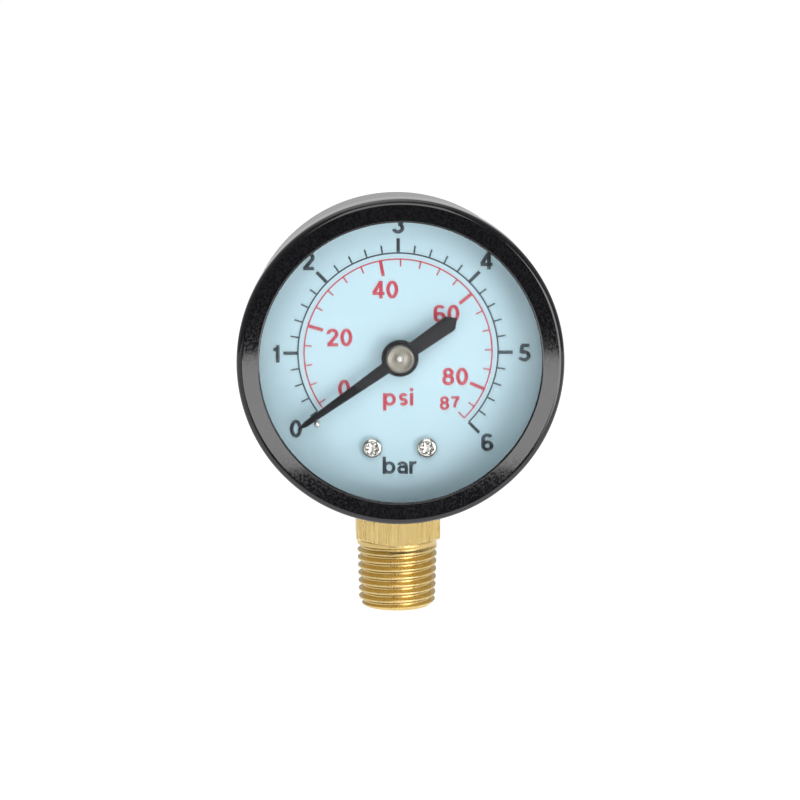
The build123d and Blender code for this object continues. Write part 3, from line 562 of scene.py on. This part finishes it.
def piece_from(work, name, material, body="root", smooth_below=35):
    """Makes a piece of the model from a bmesh and hangs it on a body."""
    mesh = bpy.data.meshes.new(name)
    work.to_mesh(mesh)
    work.free()
    mesh.materials.append(material)
    mesh.shade_smooth()
    mesh.set_sharp_from_angle(angle=math.radians(smooth_below))
    piece = bpy.data.objects.new(name, mesh)
    scene.collection.objects.link(piece)
    if body:
        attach(piece, body)
    print(name, "has", len(mesh.polygons), "faces")
    return piece


def copy_of(node_name, whole_faces=True):
    """A merged copy of a node's mesh, its flat faces made whole again."""
    work = bmesh.new()
    work.from_mesh(nodes[node_name].data)
    bmesh.ops.remove_doubles(work, verts=work.verts, dist=mm(0.0005))
    if whole_faces:
        bmesh.ops.dissolve_limit(work, angle_limit=math.radians(0.5), verts=work.verts, edges=work.edges)
    return work


# %% [markdown]
# ## Bezel
# The bezel is a pressed steel ring: a flat face, a lip that turns in over the window, a rounded
# shoulder and a skirt that grips the case. It is turned from one profile, and only the shoulder has a
# large radius, because that is the edge that was drawn over a die. Two rings in the flat face keep its
# shading flat: without them the rounded edges would bend the highlights right across it.

# %% Bezel
lip_inner_r = mm(22.8)
shoulder_r = mm(1.0)
skirt_inner_r = case_r + mm(0.05)
flat_inner_r = lip_inner_r + mm(0.30)
flat_outer_r = bezel_r - shoulder_r - mm(0.15)
bezel_work = turned(
    [
        (bezel_low.y, lip_inner_r),
        (bezel_low.y, flat_inner_r),
        (bezel_low.y, flat_outer_r),
        (bezel_low.y, bezel_r),
        (bezel_high.y, bezel_r),
        (bezel_high.y, skirt_inner_r),
        (window_low.y, skirt_inner_r),
        (window_low.y, lip_inner_r),
    ],
    case_x, case_z, steps=256,
)


def on_shoulder(edge):
    """Tells whether an edge lies where the face meets the outside."""
    slack = mm(0.01)
    return all(
        abs(v.co.y - bezel_low.y) < slack
        and math.hypot(v.co.x - case_x, v.co.z - case_z) > bezel_r - slack
        for v in edge.verts
    )


soften(bezel_work, shoulder_r, segments=10, only=on_shoulder)
soften(bezel_work, mm(0.14), segments=3, sharper_than=50)
bezel_piece = piece_from(bezel_work, "bezel_ring", enamel)
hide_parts("bezel")

# %% [markdown]
# ## Window
# A flat disc with its edge broken, clear right through. It sits under the lip on its gasket.

# %% Window
window_work = turned(
    [(window_low.y, 0), (window_low.y, window_r), (window_high.y, window_r), (window_high.y, 0)],
    case_x, case_z, steps=128, closed=False,
)
soften(window_work, mm(0.2), segments=3, sharper_than=50)
window_piece = piece_from(window_work, "window_disc", glass)
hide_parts("window")

# %% [markdown]
# ## Stem
# The stem starts as square brass bar. Its lower end is turned to a taper and threaded, and where the
# cone of the turning tool meets the four flats it leaves a curved edge on each. The thread is one
# column of tooth profiles, spun once round the axis while it climbs by one pitch: its last column
# then lands on its first, one tooth higher, and merging them makes a true helix.

# %% Thread: sizes and the tooth profile
pitch = mm(1.337)
thread_depth = mm(0.80)
small_end_r = mm(6.46)
taper = 1 / 32
runout_z = mm(11.25)
end_face_r = mm(5.85)
end_chamfer = mm(0.9)
chamfer_growth = (small_end_r + end_chamfer * taper - end_face_r) / end_chamfer
flat_half = mm(7.0)
corner_r = mm(9.75)
port_r = mm(2.0)
port_depth = mm(14.0)
channel_r = mm(0.9)
stem_cut_z = mm(18.6)
tooth = [
    (0.0, 1.0), (0.10, 0.985), (0.18, 0.88), (0.44, 0.16), (0.50, 0.04), (0.56, 0.0),
    (0.6685, 0.0), (0.777, 0.0), (0.837, 0.04), (0.897, 0.16), (1.157, 0.88), (1.237, 0.985),
]
thread_steps = 180
print("tooth profile of", len(tooth), "points on a pitch of 1.337 mm")

# %% Thread: one turn of the helix
stem_work = bmesh.new()
column = [
    stem_work.verts.new((small_end_r - thread_depth * share, 0, turn * pitch + mm(rise)))
    for turn in range(-2, 10)
    for rise, share in tooth
]
threads = [stem_work.edges.new(pair) for pair in zip(column, column[1:])]
bmesh.ops.spin(
    stem_work, geom=column + threads, cent=(0, 0, 0), axis=(0, 0, 1), dvec=(0, 0, pitch / thread_steps),
    angle=math.tau, steps=thread_steps,
)
bmesh.ops.remove_doubles(stem_work, verts=stem_work.verts, dist=mm(0.002))
print("helix of", len(stem_work.faces), "faces")

# %% Thread: taper, run-out and the chamfer at the open end
fade_start = mm(9.9)
fade_end = mm(10.75)
for vert in stem_work.verts:
    radius = math.hypot(vert.co.x, vert.co.y)
    depth_here = small_end_r - radius
    around = (math.atan2(vert.co.y, vert.co.x) / math.tau) % 1
    groove_z = pitch * (round(vert.co.z / pitch - around) + around)
    fade = min(1, max(0, (fade_end - groove_z) / (fade_end - fade_start)))
    wanted = small_end_r + vert.co.z * taper - depth_here * fade
    wanted = min(wanted, end_face_r + chamfer_growth * max(vert.co.z, 0))
    vert.co.x *= wanted / radius
    vert.co.y *= wanted / radius


def cut_flat(work, place, normal, keep_inside):
    """Cuts a bmesh by a plane, clears one side and gives the edges of the cut."""
    result = bmesh.ops.bisect_plane(
        work, geom=work.verts[:] + work.edges[:] + work.faces[:], dist=mm(0.0001), plane_co=place,
        plane_no=normal, clear_outer=keep_inside, clear_inner=not keep_inside,
    )
    return [item for item in result["geom_cut"] if isinstance(item, bmesh.types.BMEdge)]


cut_flat(stem_work, (0, 0, 0), (0, 0, 1), keep_inside=False)
cut_flat(stem_work, (0, 0, runout_z - mm(0.1)), (0, 0, 1), keep_inside=True)
print("thread after cutting:", len(stem_work.faces), "faces")

# %% [markdown]
# The flats are turned first as a cone and a cylinder, then sliced by four planes. The curved edges
# come by themselves, just as they do when square bar is turned.

# %% Flats, bore and the closing of the stem
bar_work = bmesh.new()
bar_profile = [
    (small_end_r + runout_z * taper, runout_z),
    (corner_r, runout_z + (corner_r - small_end_r - runout_z * taper) * math.tan(math.radians(25))),
    (corner_r, stem_cut_z),
    (channel_r, stem_cut_z),
    (channel_r, port_depth),
    (port_r, port_depth),
    (port_r, mm(0.25)),
    (port_r + mm(0.25), 0),
]
bar_points = [bar_work.verts.new((radius, 0, height)) for radius, height in bar_profile]
bar_wire = [bar_work.edges.new(pair) for pair in zip(bar_points, bar_points[1:])]
bmesh.ops.spin(
    bar_work, geom=bar_points + bar_wire, cent=(0, 0, 0), axis=(0, 0, 1), angle=math.tau, steps=180,
    use_merge=True,
)
for normal in ((1, 0, 0), (-1, 0, 0), (0, 1, 0), (0, -1, 0)):
    place = Vector(normal) * flat_half
    flat_edges = cut_flat(bar_work, place, normal, keep_inside=True)
    bmesh.ops.holes_fill(bar_work, edges=flat_edges, sides=0)
bar_mesh = bpy.data.meshes.new("bar_part")
bar_work.to_mesh(bar_mesh)
bar_work.free()
stem_work.from_mesh(bar_mesh)
bpy.data.meshes.remove(bar_mesh)


def open_rim(work, height):
    """The open edges that lie at one height."""
    return [
        edge
        for edge in work.edges
        if edge.is_boundary and all(abs(v.co.z - height) < mm(0.005) for v in edge.verts)
    ]


end_rims = open_rim(stem_work, 0)
bmesh.ops.bridge_loops(stem_work, edges=end_rims)
neck_rims = open_rim(stem_work, runout_z - mm(0.1)) + open_rim(stem_work, runout_z)
bmesh.ops.bridge_loops(stem_work, edges=neck_rims)
bmesh.ops.recalc_face_normals(stem_work, faces=stem_work.faces)
print("open edges left on the stem:", sum(edge.is_boundary for edge in stem_work.edges))
stem_piece = piece_from(stem_work, "stem_threaded_end", stem_brass, smooth_below=28)
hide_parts("stem")

# %% The stem's block and tongue, inside the case
block_work = copy_of("stem", whole_faces=False)
block_edges = cut_flat(block_work, (0, 0, stem_cut_z), (0, 0, 1), keep_inside=False)
bmesh.ops.triangle_fill(block_work, edges=block_edges, use_beauty=True)
bmesh.ops.recalc_face_normals(block_work, faces=block_work.faces)
piece_from(block_work, "stem_block", stem_brass)

# %% [markdown]
# ## Pointer and hub
# The pointer is stamped from thin sheet and lacquered black, so its outline is the working model's
# with the edge rolled a little by the die. The hub is turned: a rim, a shallow dish and a tiny centre.

# %% Pointer
pointer_work = copy_of("pointer")
soften(pointer_work, mm(0.05), segments=2, sharper_than=60)
pointer_piece = piece_from(pointer_work, "pointer_blade", pointer_black, body="pointer_body")
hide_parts("pointer")

# %% Hub
front = hub_low.y
hub_work = turned(
    [
        (front + mm(0.10), mm(0.47)),
        (front + mm(0.06), mm(0.58)),
        (front + mm(0.14), mm(0.74)),
        (front + mm(0.20), mm(1.20)),
        (front + mm(0.17), mm(1.72)),
        (front + mm(0.05), mm(1.90)),
        (front, mm(2.02)),
        (front + mm(0.06), mm(2.17)),
        (front + mm(0.22), mm(2.26)),
        (front + mm(0.45), hub_r),
        (pointer_low.y, hub_r),
        (pointer_low.y, mm(1.2)),
        (pointer_high.y, mm(1.2)),
        (pointer_high.y, mm(1.4)),
        (hub_high.y, mm(1.4)),
        (hub_high.y, mm(0.63)),
    ],
    spindle_x, spindle_z, steps=96,
)
hub_piece = piece_from(hub_work, "pointer_hub_turned", hub_metal, body="pointer_body", smooth_below=50)
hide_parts("pointer_hub")

# %% [markdown]
# ## Screws and stop pin
# Each dial screw has a low dome with a six-lobed recess. It is grown ring by ring from one loop of
# edges: the operator extrudes the loop, and each new ring is given a radius for every direction.


# %% Dial screws
screw_low, screw_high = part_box("dial_screws")
head_r = mm(1.75)
screw_steps = 96


def place_ring(ring, x, z, depth, radius, lobe=0.0):
    """Sets a ring's vertices at a depth, on a circle with six lobes."""
    for vert in ring:
        angle = math.atan2(vert.co.z - z, vert.co.x - x)
        reach = radius + lobe * math.cos(6 * angle + 0.6)
        vert.co = (x + reach * math.cos(angle), depth, z + reach * math.sin(angle))


def screw_work_at(work, x, z):
    """Adds a dial screw at x, z: shank, domed head and recess."""
    head_back = dial_face_y
    head_front = screw_low.y
    rings = [
        (screw_high.y, mm(1.0), 0),
        (head_back, mm(1.0), 0),
        (head_back, head_r - mm(0.05), 0),
        (head_back - mm(0.05), head_r, 0),
        (head_back - mm(0.75), head_r, 0),
        (head_front + mm(0.30), head_r - mm(0.10), 0),
        (head_front + mm(0.12), head_r - mm(0.26), 0),
        (head_front + mm(0.02), head_r - mm(0.42), 0),
        (head_front + mm(0.00), mm(1.08), mm(0.17)),
        (head_front + mm(0.05), mm(0.98), mm(0.22)),
        (head_front + mm(0.42), mm(0.84), mm(0.20)),
        (head_front + mm(0.50), mm(0.66), mm(0.14)),
        (head_front + mm(0.58), mm(0.20), 0),
    ]
    start = bmesh.ops.create_circle(work, segments=screw_steps, radius=head_r)["verts"]
    bmesh.ops.rotate(work, verts=start, matrix=Matrix.Rotation(math.radians(90), 3, "X"))
    bmesh.ops.translate(work, verts=start, vec=(x, 0, z))
    loop = list({edge for vert in start for edge in vert.link_edges})
    bmesh.ops.holes_fill(work, edges=loop, sides=0)
    place_ring(start, x, z, *rings[0])
    for depth, radius, lobe in rings[1:]:
        grown = bmesh.ops.extrude_edge_only(work, edges=loop)["geom"]
        ring = [item for item in grown if isinstance(item, bmesh.types.BMVert)]
        loop = [item for item in grown if isinstance(item, bmesh.types.BMEdge)]
        loop = [edge for edge in loop if all(vert in ring for vert in edge.verts)]
        place_ring(ring, x, z, depth, radius, lobe)
    bmesh.ops.holes_fill(work, edges=loop, sides=0)


dial_middle_x = (screw_low.x + screw_high.x) / 2
screw_reach = (screw_high.x - screw_low.x) / 2 - head_r
screw_mid_z = (screw_low.z + screw_high.z) / 2
screws_work = bmesh.new()
for side in (-1, 1):
    screw_work_at(screws_work, dial_middle_x + side * screw_reach, screw_mid_z)
bmesh.ops.recalc_face_normals(screws_work, faces=screws_work.faces)
recess_lip_y = screw_low.y + mm(0.02)
recess_wall_depth = mm(0.42)
recess_reach = mm(1.22)
# Faces on the walls of the recesses take the second material, the painted shade of the recess.
for face in screws_work.faces:
    middle = face.calc_center_median()
    from_axis = math.hypot(abs(middle.x - dial_middle_x) - screw_reach, middle.z - screw_mid_z)
    if recess_lip_y < middle.y < recess_lip_y + recess_wall_depth and from_axis < recess_reach:
        face.material_index = 1
screws_piece = piece_from(screws_work, "dial_screws_domed", nickel, smooth_below=40)
screws_piece.data.materials.append(recess_shade)
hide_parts("dial_screws")

# %% Stop pin
pin_low, pin_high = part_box("stop_pin")
pin_x = (pin_low.x + pin_high.x) / 2
pin_z = (pin_low.z + pin_high.z) / 2
pin_r = mm(0.5)
pin_work = turned(
    [
        (pin_low.y, 0),
        (pin_low.y, mm(0.22)),
        (pin_low.y + mm(0.10), mm(0.41)),
        (pin_low.y + mm(0.30), pin_r),
        (dial_high.y, pin_r),
        (dial_high.y, mm(0.9)),
        (pin_high.y, mm(0.9)),
        (pin_high.y, 0),
    ],
    pin_x, pin_z, steps=40, closed=False,
)
pin_piece = piece_from(pin_work, "stop_pin_turned", nickel, smooth_below=50)
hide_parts("stop_pin")

# %% [markdown]
# ## Printing
# Pad-printed ink lies on the lacquer as a film of a few hundredths of a millimetre. A pen does the
# drawing here: a short edge is the nib, extruding it draws a line and spinning it draws an arc. The
# arcs, the ticks and the plain numerals all come from that one pen, so no font is needed.


# %% The pen
def pen_stroke(ink, start, heading, moves, width, layer=0):
    """Draws lines and arcs in the dial's plane; sizes in millimetres, angles in degrees."""
    turn = math.radians(heading)
    middle = Vector((start[0], -0.004 * layer, start[1]))
    left = Vector((-math.sin(turn), 0, math.cos(turn)))
    nib = [ink.verts.new(middle + left * width / 2), ink.verts.new(middle - left * width / 2)]
    edge = ink.edges.new(nib)
    for kind, size, *sweep in moves:
        if kind == "line":
            grown = bmesh.ops.extrude_edge_only(ink, edges=[edge])["geom"]
            nib = [item for item in grown if isinstance(item, bmesh.types.BMVert)]
            step = Vector((math.cos(turn), 0, math.sin(turn))) * size
            bmesh.ops.translate(ink, verts=nib, vec=step)
            middle = middle + step
        else:
            angle = math.radians(sweep[0])
            left = Vector((-math.sin(turn), 0, math.cos(turn)))
            centre = middle + left * math.copysign(size, angle)
            steps = max(3, math.ceil(abs(angle) / (0.13 / math.sqrt(size))))
            spun = bmesh.ops.spin(
                ink, geom=nib + [edge], cent=centre, axis=(0, -1, 0), angle=angle, steps=steps
            )["geom_last"]
            nib = [item for item in spun if isinstance(item, bmesh.types.BMVert)]
            middle = (nib[0].co + nib[1].co) / 2
            turn += angle
        edge = next(one for one in nib[0].link_edges if one.other_vert(nib[0]) == nib[1])


def oval(width, height, side_r):
    """The moves of a closed oval, from the middle of its left side upwards."""
    beside = side_r - width / 2
    end_r = (side_r**2 - beside**2 - (height / 2) ** 2) / (2 * side_r - height)
    side = math.degrees(math.atan2(height / 2 - end_r, beside))
    end = 180 - 2 * side
    return [
        ("arc", side_r, -side),
        ("arc", end_r, -end),
        ("arc", side_r, -2 * side),
        ("arc", end_r, -end),
        ("arc", side_r, -side),
    ]


# %% Numerals and letters, drawn 2.9 mm high
bowl = ((0.3, 1.05), 90, oval(1.35, 1.6, 0.9))
letter_strokes = {
    "0": [((0.25, 1.45), 90, oval(1.25, 2.4, 1.9))],
    "1": [((1.05, 0), 90, [("line", 2.9)]), ((0.40, 2.15), 0, [("line", 0.15), ("arc", 0.5, 55)])],
    "2": [
        ((0.255, 2.03), 90, [("arc", 0.62, -217.5), ("line", 1.79)]),
        ((0.10, 0.25), 0, [("line", 1.6)]),
    ],
    "3": [((0.29, 2.22), 75, [("arc", 0.58, -255)]), ((0.85, 1.50), 0, [("arc", 0.63, -255)])],
    "4": [
        ((1.25, 0), 90, [("line", 2.9)]),
        ((1.20, 2.72), -118.8, [("line", 2.08)]),
        ((0.02, 0.83), 0, [("line", 1.75)]),
    ],
    "5": [
        ((0.42, 2.65), 0, [("line", 1.2)]),
        ((0.55, 2.65), -96, [("line", 1.3)]),
        ((0.364, 1.354), 50, [("arc", 0.66, -300)]),
    ],
    "6": [
        ((0.25, 0.875), 90, [("arc", 0.625, -360)]),
        ((0.25, 0.875), 90, [("line", 1.155), ("arc", 0.62, -150)]),
    ],
    "7": [((0.10, 2.65), 0, [("line", 1.55)]), ((1.50, 2.60), -128, [("arc", 3.6, 36)])],
    "8": [((0.325, 2.10), 90, [("arc", 0.55, -360)]), ((0.245, 0.88), 90, [("arc", 0.63, -360)])],
    "b": [((0.25, 0), 90, [("line", 2.9)]), bowl],
    "a": [
        ((0.285, 1.468), 70, [("arc", 0.58, -160), ("line", 1.27)]),
        ((1.41, 1.20), 180, [("line", 0.62), ("arc", 0.47, 180), ("line", 0.62)]),
    ],
    "r": [((0.25, 0), 90, [("line", 2.1)]), ((0.27, 1.20), 90, [("arc", 0.68, -100)])],
    "p": [((0.25, -0.8), 90, [("line", 2.9)]), bowl],
    "s": [((1.161, 1.607), 115, [("arc", 0.42, 245)]), ((0.78, 1.01), 0, [("arc", 0.39, -245)])],
    "i": [((0.25, 0), 90, [("line", 2.1)]), ((0.25, 2.4), 90, [("line", 0.5)])],
}
letter_widths = {"b": 1.9, "a": 1.66, "r": 1.2, "p": 1.9, "s": 1.4, "i": 0.5}


def write_on_dial(ink, text, x, baseline, size=2.9, gap=0.30, pen=0.56):
    """Writes text centred on x with its foot on the baseline, a little wider than it is cut."""
    widths = [letter_widths.get(letter, 1.75) * 1.12 for letter in text]
    scale = size / 2.9
    at = x - (sum(widths) + gap * (len(text) - 1)) * scale / 2
    for letter, letter_width in zip(text, widths):
        before = len(ink.verts)
        for layer, (start, heading, moves) in enumerate(letter_strokes[letter]):
            pen_stroke(ink, start, heading, moves, pen, layer)
        ink.verts.ensure_lookup_table()
        drawn = ink.verts[before:]
        bmesh.ops.scale(ink, verts=drawn, vec=(scale * 1.12, 1, scale))
        bmesh.ops.translate(ink, verts=drawn, vec=(at, 0, baseline))
        at += (letter_width + gap) * scale


print("letters cut:", "".join(letter_strokes))


# %% Scales
def scale_arc(ink, radius, from_angle, to_angle, width):
    """Draws a scale's arc clockwise from one angle to another."""
    start = (radius * math.cos(math.radians(from_angle)), radius * math.sin(math.radians(from_angle)))
    pen_stroke(ink, start, from_angle - 90, [("arc", radius, to_angle - from_angle)], width)


def scale_tick(ink, radius, angle, length, width):
    """Draws a tick outwards from a radius, or inwards if its length is negative."""
    start = (radius * math.cos(math.radians(angle)), radius * math.sin(math.radians(angle)))
    heading = angle if length > 0 else angle + 180
    pen_stroke(ink, start, heading, [("line", abs(length))], width, layer=1)


scale_x = -mm(0.2)
scale_z = mm(44.7)
black_r = 16.4
red_r = 15.4
black_print = bmesh.new()
red_print = bmesh.new()
scale_arc(black_print, black_r, 216, -45, 0.27)
scale_arc(red_print, red_r, 216, -45, 0.25)
for ninths in range(25):
    angle = 180 - 9 * ninths
    if ninths % 5:
        scale_tick(black_print, black_r, angle, 1.4, 0.27)
    else:
        scale_tick(black_print, black_r, angle, 2.4, 0.55)
for angle in (216, 207, 198, 189):
    scale_tick(black_print, black_r, angle, 1.4, 0.27)
scale_tick(black_print, black_r, -45, 2.5, 0.5)
for pressure in range(4, 88, 4):
    angle = 225 - 3.103 * pressure
    if pressure % 20:
        scale_tick(red_print, red_r, angle, -1.2, 0.25)
    else:
        scale_tick(red_print, red_r, angle, -2.55, 0.55)
scale_tick(red_print, red_r, -45, -1.4, 0.25)
print("black print:", len(black_print.faces), "faces; red print:", len(red_print.faces), "faces")

# %% Words and numbers on the dial
for text, x, foot in (
    ("0", -16.8, -14.0), ("1", -19.9, -1.55), ("2", -14.6, 13.65), ("3", 0.0, 19.6),
    ("4", 14.4, 13.65), ("5", 20.7, -1.55), ("6", 14.7, -16.45),
):
    write_on_dial(black_print, text, x, foot)
write_on_dial(black_print, "bar", 0.3, -20.2, gap=0.20, pen=0.50)
for text, x, foot in (
    ("0", -8.85, -7.35), ("20", -9.6, 1.1), ("40", -2.1, 8.95), ("60", 7.9, 4.95), ("80", 9.35, -5.45),
):
    write_on_dial(red_print, text, x, foot, pen=0.53)
write_on_dial(red_print, "87", 8.5, -9.55, size=2.27, pen=0.54)
write_on_dial(red_print, "psi", 0.0, -8.8, gap=0.36, pen=0.50)


def lay_print(ink, name, material):
    """Gives the drawn ink its thickness and lays it on the dial."""
    bmesh.ops.scale(ink, verts=ink.verts, vec=(0.001, 0.001, 0.001))
    bmesh.ops.translate(ink, verts=ink.verts, vec=(scale_x, dial_face_y, scale_z))
    film = bmesh.ops.extrude_face_region(ink, geom=ink.faces[:])["geom"]
    raised = [item for item in film if isinstance(item, bmesh.types.BMVert)]
    bmesh.ops.translate(ink, verts=raised, vec=(0, -mm(0.02), 0))
    bmesh.ops.recalc_face_normals(ink, faces=ink.faces)
    return piece_from(ink, name, material)


lay_print(black_print, "dial_print_black", black_ink)
lay_print(red_print, "dial_print_red", red_ink)

# %% [markdown]
# ## Bourdon tube
# The tube is the spring that does the measuring: pressure straightens it a little and lifts its tip.
# It is one piece between the stem and the tip; its copy hangs on no body, with its place baked into its mesh.

# %% Bourdon tube
tube_work = copy_of("bourdon_tube", whole_faces=False)
tube_piece = piece_from(tube_work, "bourdon_tube_bent", bronze, body=None)
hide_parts("bourdon_tube")
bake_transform(tube_piece)

# %% Finishes for the pieces that keep their own shape
finishes = {
    "stem": stem_brass,
    "case": enamel,
    "bezel": enamel,
    "window": glass,
    "window_gasket": rubber,
    "blowout_plug": rubber,
    "dial": lacquer,
    "dial_spacers": movement_brass,
    "dial_screws": nickel,
    "stop_pin": nickel,
    "pointer": pointer_black,
    "pointer_hub": hub_metal,
    "pinion_shaft": steel,
    "sector": movement_brass,
    "sector_shaft": steel,
    "link": movement_brass,
    "sector_pin": steel,
    "tip_pin": steel,
    "bourdon_tube": bronze,
    "tube_tip": movement_brass,
    "movement_back_plate": movement_brass,
    "movement_front_plate": movement_brass,
    "movement_pillars": movement_brass,
    "plate_screws": nickel,
    "movement_screws": nickel,
    "case_screws": nickel,
    "hairspring": bronze,
    "hairspring_collet": movement_brass,
    "hairspring_stud": movement_brass,
}
for name, material in finishes.items():
    node = nodes[name]
    node.data.materials.clear()
    node.data.materials.append(material)
print("nodes with a finish:", len(finishes), "of", len(nodes))
